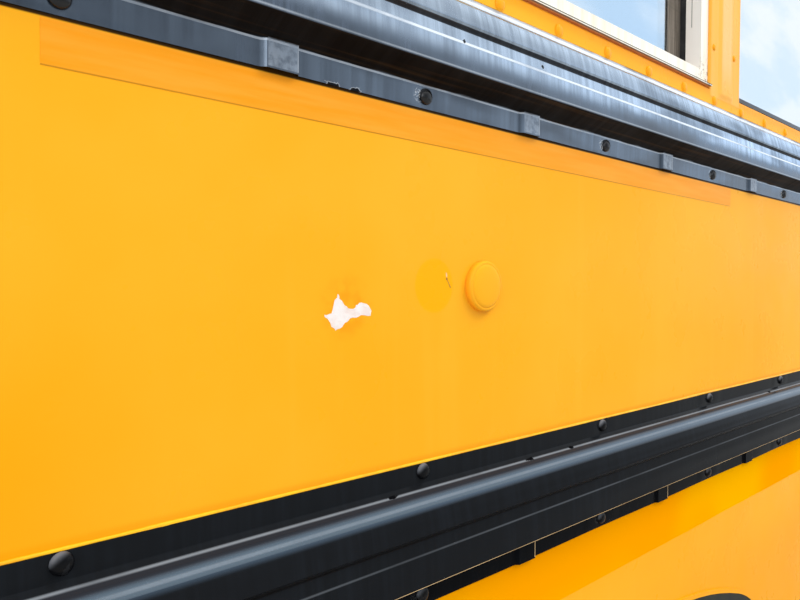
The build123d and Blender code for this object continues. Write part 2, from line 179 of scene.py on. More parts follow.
class Nodes:
    """A node tree, with short calls for the nodes that the finishes and the sky share."""

    def __init__(self, tree, coordinate):
        self.tree = tree
        self.place = self.node("ShaderNodeTexCoord").outputs[coordinate]
        self.x, self.y, self.z = self.parts(self.place)

    def node(self, kind, **settings):
        """A new node with its settings."""
        made = self.tree.nodes.new(kind)
        for key, value in settings.items():
            setattr(made, key, value)
        return made

    def feed(self, socket, value):
        """Links an output to a socket, or sets the socket to a constant."""
        if isinstance(value, bpy.types.NodeSocket):
            self.tree.links.new(value, socket)
        elif hasattr(value, "__len__") and len(value) == 3 and socket.type == "RGBA":
            socket.default_value = (*value, 1)
        else:
            socket.default_value = value

    def parts(self, vector):
        """The X, Y and Z outputs of a vector."""
        made = self.node("ShaderNodeSeparateXYZ")
        self.feed(made.inputs[0], vector)
        return made.outputs

    def above(self, z):
        """Height over z."""
        return self.minus(self.z, z)

    def math(self, operation, a, b=0.0):
        """One sum of one or two values."""
        made = self.node("ShaderNodeMath", operation=operation)
        self.feed(made.inputs[0], a)
        self.feed(made.inputs[1], b)
        return made.outputs[0]

    def chain(self, operation, values):
        """The same sum over two or more values."""
        result = values[0]
        for value in values[1:]:
            result = self.math(operation, result, value)
        return result

    def plus(self, *values):
        return self.chain("ADD", values)

    def minus(self, a, b):
        return self.math("SUBTRACT", a, b)

    def times(self, *values):
        return self.chain("MULTIPLY", values)

    def most(self, *values):
        return self.chain("MAXIMUM", values)

    def length(self, a, b):
        """Length of a step of a and b at right angles."""
        return self.math("SQRT", self.plus(self.times(a, a), self.times(b, b)))

    def off_whole(self, value):
        """How far a value is from the nearest whole number."""
        return self.math("ABSOLUTE", self.minus(self.math("FRACT", self.plus(value, 0.5)), 0.5))

    def grain(self, detail, rough, x, y, z):
        """Noise with each axis scaled, for streaks and grain."""
        made = self.node("ShaderNodeVectorMath", operation="MULTIPLY")
        self.feed(made.inputs[0], self.place)
        made.inputs[1].default_value = (x, y, z)
        return self.noise(1.0, detail, rough, made.outputs[0])

    def noise(self, scale, detail=3.0, rough=0.5, place=None):
        """Soft noise at the place, or at one given."""
        made = self.node("ShaderNodeTexNoise")
        self.feed(made.inputs["Vector"], place or self.place)
        made.inputs["Scale"].default_value = scale
        made.inputs["Detail"].default_value = detail
        made.inputs["Roughness"].default_value = rough
        return made.outputs["Fac"]

    def cells(self, scale):
        """Random colour of each cell."""
        made = self.node("ShaderNodeTexVoronoi")
        self.feed(made.inputs["Vector"], self.place)
        made.inputs["Scale"].default_value = scale
        return made.outputs["Color"]

    def band(self, value, low, high, at_low=0.0, at_high=1.0):
        """Smooth step of value from low to high."""
        made = self.node("ShaderNodeMapRange", interpolation_type="SMOOTHSTEP")
        given = {"Value": value, "From Min": low, "From Max": high, "To Min": at_low, "To Max": at_high}
        for name, setting in given.items():
            self.feed(made.inputs[name], setting)
        return made.outputs["Result"]

    def ramp(self, value, low, high, at_low=0.0, at_high=1.0):
        """Smooth step between two places in millimetres."""
        return self.band(value, low * MM, high * MM, at_low, at_high)

    def between(self, value, low, high, soft):
        """1 between low and high, with soft edges."""
        rise = self.band(value, low - soft, low + soft)
        fall = self.band(value, high - soft, high + soft, 1.0, 0.0)
        return self.times(rise, fall)

    def line(self, value, span, soft):
        """1 inside a span in millimetres, with soft edges."""
        return self.between(value, span[0] * MM, span[1] * MM, soft * MM)

    def mix(self, share, first, second, blend="MIX"):
        """Two colours mixed."""
        made = self.node("ShaderNodeMix", data_type="RGBA", blend_type=blend)
        self.feed(made.inputs["Factor"], share)
        self.feed(made.inputs[6], first)
        self.feed(made.inputs[7], second)
        return made.outputs[2]


class Finish(Nodes):
    """A principled material."""

    INPUTS = {
        "ior": "IOR", "specular": "Specular IOR Level", "transmission": "Transmission Weight",
    }

    def __init__(self, name, color=None):
        self.color = color
        self.material = bpy.data.materials.new(name)
        self.material.use_nodes = True
        super().__init__(self.material.node_tree, "Object")
        self.shader = self.tree.nodes["Principled BSDF"]

    def layer(self, color, *shares):
        """Lays a colour over those before it, by the product of its shares."""
        self.color = self.mix(self.times(*shares), self.color, color)

    def spot(self, x, z, radius, soft):
        """1 inside a disc on the wall round x, z."""
        far = self.length(self.minus(self.x, x), self.above(z))
        return self.band(far, radius - soft, radius + soft, 1.0, 0.0)

    def post_distance(self):
        """How far along the wall the nearest post's middle is."""
        along = self.math("DIVIDE", self.minus(self.x, post_xs[0]), post_pitch)
        return self.times(self.off_whole(along), post_pitch)

    def bump(self, *layers):
        """Bump from (height, distance in metres) layers, coarse first."""
        normal = None
        for height, distance in layers:
            made = self.node("ShaderNodeBump")
            made.inputs["Strength"].default_value = 1.0
            made.inputs["Distance"].default_value = distance
            self.feed(made.inputs["Height"], height)
            if normal is not None:
                self.feed(made.inputs["Normal"], normal)
            normal = made.outputs[0]
        self.feed(self.shader.inputs["Normal"], normal)

    def set(self, **values):
        """Sets the shader's inputs: base_color, roughness and so on."""
        for key, value in values.items():
            name = self.INPUTS.get(key, key.replace("_", " ").title())
            self.feed(self.shader.inputs[name], value)

    def set_level(self, level, usual):
        """Sets a specular level, and where it varies its usual value for viewers that take no map of it."""
        socket = self.shader.inputs["Specular IOR Level"]
        socket.default_value = usual
        self.feed(socket, level)


# Yellow enamel

YELLOW = (0.98, 0.415, 0.010)
YELLOW_PALE = (0.98, 0.455, 0.022)
YELLOW_DEEP = (0.98, 0.350, 0.0)
YELLOW_RICH = (0.98, 0.440, 0.0)
YELLOW_UNFADED = (0.98, 0.430, 0.0)
YELLOW_SHADED = (0.98, 0.335, 0.004)
CHALK = (0.95, 0.55, 0.20)
CROWN_HIGHLIGHT_CHALK = (0.98, 0.66, 0.38)
EDGE_DEEPER = (0.95, 0.42, 0.06)
CHIP_STAIN = (0.93, 0.33, 0.006)
RAIL_SHADE_ORANGE = (0.90, 0.30, 0.004)
GAP_SHADOW_DARK = (0.010, 0.004, 0.002)
ROAD_DIRT = (0.30, 0.19, 0.09)

disc_x = -383.9 * MM
disc_z = 414.5 * MM
chip_x = -500.4 * MM
chip_z = 391.0 * MM
halo_aside = 3 * MM
halo_radius = 27 * MM
halo_soft = 10 * MM
rail_shade_height = 7
shade_z = 5
dirt_height = 190


def yellow_paint(name, chalk=0.0, marks=None, sheen=0.09):
    """Weathered enamel: orange peel, slow waves in the sheet, faint run-off streaks, and chalk if given."""
    coat = Finish(name, YELLOW)
    blotch = coat.noise(2.4, 4, 0.55)
    streak = coat.grain(2, 0.5, 26, 26, 1.6)
    coat.layer(YELLOW_PALE, coat.band(blotch, 0.35, 0.68))
    coat.layer(YELLOW_PALE, coat.band(streak, 0.56, 0.74, 0, 0.45))
    if chalk:
        washed = coat.grain(3, 0.5, 60, 60, 2.0)
        coat.layer(CHALK, coat.band(washed, 0.3, 0.7, chalk * 0.6, chalk))
    coat.set_level(marks(coat, sheen) if marks else sheen, usual=sheen)
    coat.set(base_color=coat.color, roughness=coat.band(coat.noise(9, 4, 0.6), 0.3, 0.7, 0.24, 0.36))
    coat.bump((coat.noise(2.2, 1), 0.005), (coat.noise(420, 2, 0.5), 0.000007))
    return coat.material


def name_panel_marks(coat, sheen):
    """Unfaded disc where a second lamp sat, the stain round the chip, and painted shade along both rails'
    edges.
    """
    disc = coat.spot(disc_x, disc_z, lamp_radius, 1.2 * MM)
    coat.layer(YELLOW_UNFADED, disc, 0.9)
    halo = coat.spot(chip_x - halo_aside, chip_z + halo_aside, halo_radius, halo_soft)
    rough_halo = coat.times(halo, coat.band(coat.noise(60, 3), 0.35, 0.65, 0.15, 0.75))
    coat.layer(CHIP_STAIN, rough_halo)
    # painted shade in a band just above the lower rail
    foot = coat.line(coat.above(lower_rail_top), (0, rail_shade_height), 3)
    coat.layer(RAIL_SHADE_ORANGE, foot, 0.6)
    low_left = coat.times(coat.ramp(coat.x, -640, -790), coat.ramp(coat.z, 450, 270))
    coat.layer(YELLOW_DEEP, low_left, 0.6)
    # painted shadow in a thin band right under the upper rail's flange
    gap_shadow = coat.ramp(coat.above(upper_rail_z), -3.2, -1.6)
    coat.layer(GAP_SHADOW_DARK, gap_shadow, 0.96)
    far_right = coat.ramp(coat.x, -500, 100, 1.0, 0.7)
    return coat.times(far_right, coat.band(low_left, 0.0, 1.0, sheen, 0.4 * sheen))


def belt_marks(coat, sheen):
    """Deeper colour just under the window frames, a painted shade."""
    coat.layer(YELLOW_SHADED, coat.ramp(coat.above(sill_z), -19, -6, 0.0, 0.65))
    return sheen


def rivet_marks(coat, sheen):
    """Thicker and glossier paint over the rivets."""
    coat.layer(YELLOW_DEEP, 0.6)
    return 2 * sheen


def post_marks(coat, sheen):
    """Paler middle of a post's crown, chalk and a painted highlight, and deeper colour down each edge."""
    # chalk and a painted highlight down the middle of the crown
    middle = coat.ramp(coat.post_distance(), 26, 15)
    risen = coat.ramp(coat.above(sill_z), -5, 60)
    coat.layer(CROWN_HIGHLIGHT_CHALK, middle, risen, 0.35)
    # deeper colour down each edge of the cover
    edge = coat.ramp(coat.post_distance(), 57, 61)
    coat.layer(EDGE_DEEPER, edge, 0.5)
    return sheen


def skirt_marks(coat, sheen):
    """Deeper band under the rail, a painted shade of the rail, colour that deepens further down, and road
    dirt near the hem.
    """
    height = coat.z
    wavy = coat.plus(height, coat.band(coat.noise(6, 3), 0.2, 0.8, -1 * MM, 1 * MM))
    # painted shade of the lower rail down to shade_z, with no sheen in it
    deep = coat.ramp(wavy, shade_z - 0.8, shade_z + 0.8)
    rail_shade_yellow = coat.mix(coat.band(coat.noise(3.5, 1), 0.40, 0.65), YELLOW_DEEP, YELLOW_RICH)
    coat.layer(YELLOW_DEEP, coat.ramp(height, -20, -150, 0.0, 0.45))
    coat.layer(rail_shade_yellow, deep)
    splashed = coat.band(coat.noise(14, 5, 0.65), 0.38, 0.66, 0.0, 0.55)
    coat.layer(ROAD_DIRT, coat.ramp(coat.above(hem_z), dirt_height, 0), splashed)
    return coat.times(coat.minus(1.0, deep), sheen)


# Black enamel

BLACK = (0.0040, 0.0042, 0.0050)
BLACK_CHALK_SKY_TINT = (0.078, 0.102, 0.142)
BLACK_LOW = (0.0095, 0.0102, 0.0115)
BLACK_WORN = (0.03, 0.031, 0.034)
BOLT_HIGHLIGHT_GREY = (0.17, 0.18, 0.20)
SHADE_BLACK = (0.0060, 0.0036, 0.0020)
SHADE_BROWN = (0.030, 0.015, 0.005)
BEND_HIGHLIGHT = (0.78, 0.85, 0.93)
JOGGLE_SKY_REFLECTION = (0.25, 0.28, 0.32)
CHIP_AND_HIGHLIGHT_PALE = (0.55, 0.56, 0.57)

# How each rail's enamel looks, weathered, with painted shade and painted highlights. Heights are millimetres
# over its lower edge:
# levels: from, to, specular level above; highlight lines: from, to, strength of each painted highlight;
# under: stretch of the foot bend darkened as painted shade;
# chips: along the wall, height, half length, half height
upper_look = SimpleNamespace(
    base_z=upper_rail_z, enamel=BLACK, chalk=1.0, ior=4.2, tint=(0.66, 0.81, 1.0), usual_level=0.5,
    foot_level=0.24,
    levels=((38, 44, 0.22), (46, 67, 0.80), (84, 88, 0.58), (92, 112, 0.85), (118, 122, 0.3)),
    lines=((41.5, 43.0, 0.35), (67.6, 70.6, 1.0), (108.5, 116.0, 0.12), (115.2, 133.0, 0.95)),
    ledge_highlight=0.0, ledge_highlight_color=(0.50, 0.53, 0.58),
    under=(24.0, 40.5), groove=(82.0, 87.0), groove_shade=0.98,
    edge_up=23.0, edge_color=(0.42, 0.44, 0.47), joggle_reflection=0.8,
    chip_rim=0.5,
    chips=((-369, 71, 2.4, 2.2), (-229, 75, 2.4, 2.2), (-522, 0.4, 6, 2.0), (-496, 0.4, 6, 2.0)),
)
lower_look = SimpleNamespace(
    base_z=lower_rail_z, enamel=BLACK_LOW, chalk=0.04, ior=1.9, tint=(0.55, 0.77, 1.0), usual_level=0.25,
    foot_level=0.008,
    levels=((34, 38, 0.010), (106, 113, 0.95), (117, 121, 0.015)),
    lines=((66.0, 67.6, 0.08), (114.0, 116.5, 0.12)),
    ledge_highlight=0.26, ledge_highlight_color=(0.022, 0.024, 0.030),
    under=(25.0, 31.0), groove=(80.0, 83.6), groove_shade=0.4,
    edge_up=33.9, edge_color=(1.0, 0.70, 0.36), joggle_reflection=0.0,
    chip_rim=0.0, chips=((-449, 125, 6, 1.2), (-221, 125, 7, 1.2), (-131, 125, 5, 1.2), (586, 125, 6, 1.2)),
)
skirt_look = SimpleNamespace(
    base_z=hem_z, enamel=BLACK_LOW, chalk=0.1, ior=1.9, tint=(0.78, 0.90, 1.0), usual_level=0.25,
    foot_level=0.03,
    levels=((34, 38, 0.06), (106, 113, 0.7), (117, 121, 0.05)),
    lines=((66.0, 67.6, 0.06),),
    ledge_highlight=0.1, ledge_highlight_color=(0.030, 0.028, 0.026),
    under=(25.0, 31.0), groove=(80.0, 83.6), groove_shade=0.6,
    edge_up=33.9, edge_color=(0.55, 0.30, 0.12), joggle_reflection=0.0,
    chip_rim=0.0, chips=((-980, 125, 6, 1.2), (830, 125, 5, 1.2)),
)
# where the ledge's painted highlight lies, in millimetres
ledge_rise = (117, 120)
ledge_out = (7, 10)
ledge_highlight_out = (6.8, 9.0)
highlight_aside = 11


def rail_shade(coat, look, height):
    """Share of painted shade under the rail's foot bend and in its groove."""
    wavy = coat.plus(height, coat.band(coat.noise(16, 2), 0.3, 0.7, -1 * MM, 1 * MM))
    low, high = look.under
    shaded_underside = coat.times(coat.ramp(wavy, low - 0.7, low + 0.7), coat.ramp(height, high + 0.7, high - 0.7))
    return coat.most(shaded_underside, coat.times(coat.line(height, look.groove, 0.5), look.groove_shade))


def rail_highlights(coat, look, height, out):
    """Share of the painted highlights along the rail's bends and its ledge, broken up by noise."""
    highlight = coat.times(coat.line(out, ledge_highlight_out, 1.0), coat.ramp(height, *ledge_rise), look.ledge_highlight)
    for low, high, strength in look.lines:
        highlight = coat.most(highlight, coat.times(coat.line(height, (low, high), 0.8), strength))
    return coat.times(highlight, coat.band(coat.noise(9, 4, 0.6), 0.30, 0.55, 0.6, 1.0))


def rail_level(coat, look, height, streak):
    """Specular level up the rail's section, uneven along the rail where it is chalked."""
    chalk = look.chalk
    level = look.foot_level
    before = look.foot_level
    for low, high, after in look.levels:
        level = coat.plus(level, coat.ramp(height, low, high, 0.0, after - before))
        before = after
    slow = coat.grain(2, 0.5, 5, 5, 22)
    streaked = coat.band(streak, 0.3, 0.7, 1.0 + 0.25 * chalk, 1.0 - 0.25 * chalk)
    clouded = coat.band(slow, 0.34, 0.56, 1.0 - 0.4 * chalk, 1.0 + 0.15 * chalk)
    rightward = coat.ramp(coat.x, -700, 500, 1.0 - 0.15 * chalk, 1.0 + 0.35 * chalk)
    return coat.times(level, streaked, clouded, rightward)


def rail_edges(coat, look, height, along):
    """Paints a pale highlight along the rail's foot edge and the joggles' right ends, orange on the lower
    rails as a painted reflection of the yellow wall, and a painted sky reflection on the joggles.
    """
    edge = coat.line(height, (look.edge_up - 1.0, look.edge_up + 0.9), 0.25)
    edge = coat.times(edge, coat.band(coat.noise(14, 4, 0.6), 0.35, 0.55, 0.55, 1.0))
    on_flange = coat.line(height, (1.5, flange_top), 0.5)
    joggle_end = (joggle_half - 0.6) * MM / bolt_pitch
    end_line = coat.between(coat.math("FRACT", along), joggle_end - 0.0016, joggle_end + 0.0016, 0.0006)
    edge_highlights = coat.most(edge, coat.times(end_line, on_flange, 0.8))
    # painted highlight along the foot edge and the joggles' right ends
    coat.layer(look.edge_color, edge_highlights)
    on_joggle = coat.times(coat.band(coat.off_whole(along), joggle_end, joggle_end - 0.003), on_flange)
    blotches = coat.band(coat.noise(130, 4, 0.6), 0.30, 0.62, 0.25, 1.0)
    # painted sky reflection on the joggles' faces
    coat.layer(JOGGLE_SKY_REFLECTION, on_joggle, blotches, look.joggle_reflection)


def rail_chips(coat, look, height):
    """Shares of the chips through the enamel and of their rims."""
    chips = 0.0
    rims = 0.0
    ragged_edge = coat.band(coat.noise(260, 3), 0.3, 0.7, 0.4, 1.7)
    for x, up, half_length, half_height in look.chips:
        dx = coat.math("DIVIDE", coat.minus(coat.x, x * MM), half_length * MM)
        dz = coat.math("DIVIDE", coat.minus(height, up * MM), half_height * MM)
        far = coat.times(coat.plus(coat.times(dx, dx), coat.times(dz, dz)), ragged_edge)
        chips = coat.most(chips, coat.band(far, 1.1, 0.8))
        rims = coat.most(rims, coat.band(far, 1.9, 1.6))
    return chips, rims


def rail_bolt_highlights(coat, look, height, along):
    """Share of speckled painted highlights on the flange beside each bolt, where the dimple slopes, on the
    wall's left part.
    """
    past_bolt = coat.minus(coat.math("FRACT", coat.plus(along, 0.5)), 1 - highlight_aside * MM / bolt_pitch)
    far = coat.length(coat.times(past_bolt, bolt_pitch), coat.minus(height, bolt_low))
    speckled = coat.band(coat.noise(420, 4, 0.7), 0.50, 0.56)
    return coat.times(coat.ramp(far, 8.5, 5), speckled, coat.ramp(coat.x, -560, -460), look.chalk)


def black_rail(name, look):
    """Gloss black enamel on a rolled rail: rain streaks, chalk tinted as a painted sky reflection, painted
    shade under the foot and in the groove, painted highlights along the bends, ledge, edge and joggle ends, a
    painted sky reflection on the joggles, chips, and painted highlights beside the bolts.
    """
    coat = Finish(name, BLACK)
    height = coat.above(look.base_z)
    out = coat.times(coat.y, -1.0)
    along = coat.math("DIVIDE", coat.minus(coat.x, joggle_origin), bolt_pitch)
    streak = coat.grain(5, 0.62, 95, 0, 4)
    clouds = coat.band(coat.noise(11, 4, 0.6), 0.38, 0.6, 0.25, 1.0)
    dull = coat.times(coat.band(streak, 0.36, 0.74), clouds, coat.ramp(height, 30, 44, 0.55, 1.0))
    painted_shade = rail_shade(coat, look, height)
    highlight = rail_highlights(coat, look, height, out)
    chips, rims = rail_chips(coat, look, height)

    # the foot below the face stays a darker black, a painted shade on the lower rails
    coat.layer(look.enamel, coat.ramp(height, 28, 36))
    # chalk on the enamel, its blue tint a painted sky reflection
    coat.layer(BLACK_CHALK_SKY_TINT, dull, look.chalk)
    grain = coat.band(coat.grain(3, 0.5, 3, 3, 330), 0.52, 0.68)
    # painted shade under the foot bend and in the groove, black with a brown tint
    coat.layer(coat.mix(grain, SHADE_BLACK, SHADE_BROWN), painted_shade)
    # painted highlight on the ledge's top
    ledge_highlight_share = coat.times(coat.ramp(height, *ledge_rise), coat.ramp(out, *ledge_out))
    coat.layer(look.ledge_highlight_color, ledge_highlight_share)
    # painted highlights along the bends
    coat.layer(BEND_HIGHLIGHT, highlight)
    rail_edges(coat, look, height, along)
    coat.layer(CHIP_AND_HIGHLIGHT_PALE, rims, look.chip_rim)
    coat.layer(BLACK, chips)
    # speckled painted highlights beside the bolts
    coat.layer(CHIP_AND_HIGHLIGHT_PALE, rail_bolt_highlights(coat, look, height, along))

    # less sheen where shade and highlights are painted
    quiet = coat.minus(1.0, coat.most(coat.times(painted_shade, 0.93), coat.times(highlight, 0.8)))
    unchipped = coat.minus(1.0, coat.times(chips, 0.9))
    coat.set_level(coat.times(rail_level(coat, look, height, streak), quiet, unchipped), look.usual_level)
    rough = coat.plus(coat.times(dull, 0.12 * look.chalk), 0.14 + 0.06 * look.chalk)
    # rougher at the chips and where shade and highlights are painted
    worn = coat.most(chips, painted_shade, highlight)
    coat.set(base_color=coat.color, ior=look.ior, specular_tint=look.tint,
              roughness=coat.plus(rough, coat.times(worn, 0.5)))
    brushed = coat.grain(3, 0.5, 40, 20, 8)
    coat.bump((coat.noise(3.0, 2), 0.0025), (brushed, 0.00006), (coat.noise(500, 2), 0.00003))
    return coat.material


def bolt_enamel():
    """Black enamel on the rail bolts, slightly rougher than the rails, with a painted highlight on their
    upper left.
    """
    coat = Finish("rail_black_bolts", BLACK)
    worn = coat.band(coat.noise(120, 3, 0.6), 0.58, 0.70, 0.0, 0.3)
    facing = coat.parts(coat.node("ShaderNodeTexCoord").outputs["Normal"])
    # painted highlight where the head faces up and to the left
    upper_left = coat.minus(facing["Z"], coat.times(facing["X"], 0.6))
    most_highlight = coat.band(coat.z, lower_rail_top, upper_rail_z, 0.9, 0.25)
    lighter = coat.band(upper_left, 0.20, 1.10, 0.0, most_highlight)
    coat.layer(BLACK_WORN, worn)
    coat.layer(BOLT_HIGHLIGHT_GREY, lighter)
    coat.set(base_color=coat.color, roughness=coat.band(worn, 0, 0.3, 0.20, 0.36))
    coat.set_level(coat.band(coat.z, lower_rail_top, upper_rail_z, 0.10, 0.45), usual=0.3)
    coat.bump((coat.noise(300, 2), 0.00006))
    return coat.material


# Window frames, sashes, glass and inside

CREAM = (0.94, 0.90, 0.80)
CREAM_STREAK = (0.86, 0.72, 0.52)
CREAM_RETURN_LIT = (1.0, 0.93, 0.84)
CREAM_GRIME = (0.10, 0.07, 0.04)
SEAM_DARK = (0.015, 0.010, 0.007)
LIP_SHADOW_DARK = (0.10, 0.040, 0.015)
LIP_REFLECTED_YELLOW = (0.85, 0.30, 0.01)
INSIDE_GREY = (0.70, 0.74, 0.78)

# Seams of the window frames, in millimetres over the sill and behind the skin's outer face
groove_rise = (7.1, 8.5)
lip_top_rise = (4.7, 6.2)
joint_depth = (16.9, 18.1)


def cream_paint():
    """Cream enamel on the window frames, chalky, with grime in the lower corners and along the groove,
    painted light on the inner returns and a painted shadow under the drip lip.
    """
    coat = Finish("frame_cream", CREAM)
    depth = coat.y
    rise = coat.above(sill_z)
    coat.layer(CREAM_STREAK, coat.band(coat.grain(4, 0.6, 70, 70, 3), 0.40, 0.75, 0.0, 0.7))
    corner = coat.ramp(coat.post_distance(), 118, 100)
    specks = coat.band(coat.noise(150, 5, 0.72), 0.53, 0.59)
    coat.layer(CREAM_GRIME, coat.ramp(rise, 60, 12), corner, specks, 0.85)
    # painted light on the inner returns that face the opening
    coat.layer(CREAM_RETURN_LIT, coat.ramp(depth, 2, 4))
    groove = coat.line(rise, groove_rise, 0.2)
    lip_top = coat.times(coat.line(rise, lip_top_rise, 0.2), coat.ramp(depth, -5, -6.5))
    joint = coat.times(coat.line(depth, joint_depth, 0.2), coat.ramp(rise, 99, 103), 0.8)
    coat.layer(SEAM_DARK, coat.most(groove, lip_top, joint), 0.97)
    # painted shadow under the drip lip, orange towards the wall as painted light reflected from the belt
    # strip
    lip_shadow = coat.times(coat.ramp(rise, 3.6, 2.9), coat.ramp(depth, 3.2, 2.2))
    coat.layer(coat.mix(coat.ramp(depth, -5.6, -2.0), LIP_SHADOW_DARK, LIP_REFLECTED_YELLOW), lip_shadow, 0.9)
    coat.set(base_color=coat.color, roughness=0.42)
    # less sheen in the painted shadow under the lip
    coat.set_level(coat.band(lip_shadow, 0.0, 1.0, 0.45, 0.03), usual=0.45)
    coat.bump((coat.noise(350, 2), 0.00012))
    return coat.material


def bronze_sash():
    """Weathered bronze anodising with rubbed vertical and level streaks."""
    metal = Finish("sash_bronze", (0.115, 0.090, 0.068))
    upright = metal.grain(5, 0.7, 420, 420, 9)
    level = metal.grain(4, 0.6, 12, 60, 300)
    metal.layer((0.29, 0.25, 0.205), metal.band(upright, 0.35, 0.68))
    metal.layer((0.07, 0.075, 0.05), metal.band(level, 0.56, 0.72, 0, 0.35))
    metal.set(base_color=metal.color, metallic=0.35, roughness=metal.band(upright, 0.3, 0.7, 0.55, 0.38))
    metal.bump((upright, 0.00015))
    return metal.material


def galvanised():
    """Zinc spangle on roll-formed steel, with white bloom and a little rust at the lowest edges."""
    metal = Finish("galvanised", (0.40, 0.41, 0.42))
    tone = metal.node("ShaderNodeSeparateColor")
    metal.feed(tone.inputs[0], metal.cells(130))
    metal.layer((0.60, 0.61, 0.62), tone.outputs[0])
    bloom = metal.band(metal.noise(6, 5, 0.6), 0.52, 0.72, 0, 0.6)
    metal.layer((0.68, 0.69, 0.69), bloom)
    low = metal.band(metal.z, 0.0, hem_z)
    rust = metal.times(low, metal.band(metal.noise(22, 5, 0.65), 0.52, 0.62), 0.8)
    metal.layer((0.24, 0.10, 0.045), rust)
    metal.set(base_color=metal.color, metallic=0.6, roughness=metal.band(tone.outputs[1], 0, 1, 0.38, 0.56))
    metal.bump((metal.noise(260, 3), 0.0001))
    return metal.material


def undercoat():
    """Sprayed black underbody coating, pebbled, with road dust."""
    coat = Finish("undercoat")
    pebbles = coat.noise(240, 4, 0.6)
    dust = coat.times(coat.band(coat.noise(7, 5, 0.6), 0.42, 0.70), 0.7)
    coat.set(base_color=coat.mix(dust, (0.020, 0.020, 0.020), (0.15, 0.135, 0.11)),
             roughness=coat.band(pebbles, 0.3, 0.7, 0.60, 0.85))
    coat.bump((pebbles, 0.0014))
    return coat.material


def lining_grey():
    """Pale grey enamel on the inner sheets, with shoe scuffs low down and fine orange peel."""
    coat = Finish("lining_grey", (0.50, 0.52, 0.51))
    coat.layer((0.58, 0.59, 0.575), coat.band(coat.noise(3, 4), 0.35, 0.7))
    scuff = coat.band(coat.grain(5, 0.7, 30, 30, 90), 0.64, 0.70)
    low = coat.ramp(coat.z, 330, 20)
    coat.layer((0.14, 0.14, 0.13), scuff, low, 0.65)
    coat.set(base_color=coat.color, roughness=coat.band(coat.noise(12, 3), 0.3, 0.7, 0.34, 0.48))
    coat.bump((coat.noise(2.5, 1), 0.004), (coat.noise(480, 2), 0.00012))
    return coat.material


def rubber(name, fresh, lighter, sheen, grey_behind=None):
    """Dull rubber with bloom and fine checks, greyed by the inside's paint behind a depth if one is given."""
    skin = Finish(name, fresh)
    bloom = skin.band(skin.noise(40, 5, 0.65), 0.42, 0.72)
    skin.layer(lighter, bloom)
    if grey_behind:
        behind = skin.band(skin.y, grey_behind, grey_behind + 1 * MM)
        skin.layer(INSIDE_GREY, behind)
    skin.set(base_color=skin.color, specular=sheen, roughness=skin.band(bloom, 0, 1, 0.50, 0.72))
    skin.bump((skin.noise(700, 3), 0.00015))
    return skin.material


def pane(name, blue, white, low, high):
    """Glass tinted with a painted reflection of the sky: pale blue with slow white clouds."""
    glass = Finish(name)
    reflected_cloud = glass.grain(4, 0.5, 3.2, 3.2, 9.0)
    glass.set(base_color=glass.mix(glass.band(reflected_cloud, low, high), blue, white), transmission=1.0, ior=1.45,
              roughness=glass.band(glass.noise(30, 3), 0.3, 0.7, 0.0, 0.04))
    glass.bump((glass.noise(1.5, 1), 0.002))
    return glass.material


def latch_plastic():
    """Moulded black plastic with a fine grain, greyed where thumbs rub."""
    plastic = Finish("latch_black")
    edge_highlights = plastic.band(plastic.noise(90, 3), 0.45, 0.65)
    plastic.set(base_color=plastic.mix(edge_highlights, (0.016, 0.016, 0.017), (0.05, 0.05, 0.052)),
                roughness=plastic.band(edge_highlights, 0, 1, 0.52, 0.36))
    plastic.bump((plastic.noise(1500, 2), 0.00008))
    return plastic.material


def zinc_bolt():
    """Plated fastener, dulled, with a rust bloom."""
    metal = Finish("zinc_bolt")
    stain = metal.band(metal.noise(160, 4, 0.6), 0.52, 0.66)
    metal.set(base_color=metal.mix(stain, (0.52, 0.51, 0.48), (0.26, 0.15, 0.08)), metallic=0.8,
              roughness=metal.band(stain, 0, 1, 0.34, 0.7))
    metal.bump((metal.noise(900, 2), 0.00006))
    return metal.material


def flat_patch(name, first, second, scale, roughness, peel):
    """Thin patch of one mottled colour, such as bare primer or sealant."""
    patch = Finish(name)
    patch.set(base_color=patch.mix(patch.band(patch.noise(scale, 4, 0.6), 0.35, 0.65), first, second),
              roughness=roughness)
    patch.bump((patch.noise(scale * 4, 3), peel))
    return patch.material


def tape_film(low_z):
    """Faded tape with a fine level grain and a dirty lower edge."""
    tape = Finish("panel_tape", (0.98, 0.345, 0.010))
    grain = tape.grain(4, 0.6, 8, 8, 130)
    tape.layer((0.98, 0.390, 0.030), tape.band(grain, 0.3, 0.7))
    tape.layer((0.60, 0.25, 0.015), tape.ramp(tape.above(low_z), 1.4, 0.4))
    tape.set(base_color=tape.color, roughness=0.30, specular=0.09)
    tape.bump((tape.noise(3, 2), 0.004), (tape.noise(260, 2), 0.0001))
    return tape.material


yellow = yellow_paint("body_yellow")
yellow_marked = yellow_paint("body_yellow_marked", marks=name_panel_marks)
yellow_skirt = yellow_paint("body_yellow_skirt", marks=skirt_marks, sheen=0.028)
yellow_chalked = yellow_paint("body_yellow_chalked", chalk=0.38, marks=post_marks)
yellow_belt = yellow_paint("body_yellow_belt", marks=belt_marks)
yellow_rivet = yellow_paint("body_yellow_rivets", marks=rivet_marks)
yellow_lamp = yellow_paint("lamp_yellow")
rail_upper = black_rail("rail_black_upper", upper_look)
rail_lower = black_rail("rail_black_lower", lower_look)
rail_skirt = black_rail("rail_black_skirt", skirt_look)
rail_bolt = bolt_enamel()
cream = cream_paint()
bronze = bronze_sash()
zinc = galvanised()
underbody = undercoat()
lining = lining_grey()
black_rubber = rubber("rubber_black", (0.012, 0.012, 0.013), (0.035, 0.035, 0.034), 0.4)
gasket_rubber = rubber("rubber_gasket", (0.016, 0.008, 0.004), (0.030, 0.015, 0.008), 0.02,
                       grey_behind=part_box("fixed_glass")[0].y)
arch_rubber = rubber("rubber_arch", (0.022, 0.024, 0.020), (0.050, 0.054, 0.040), 0.1)
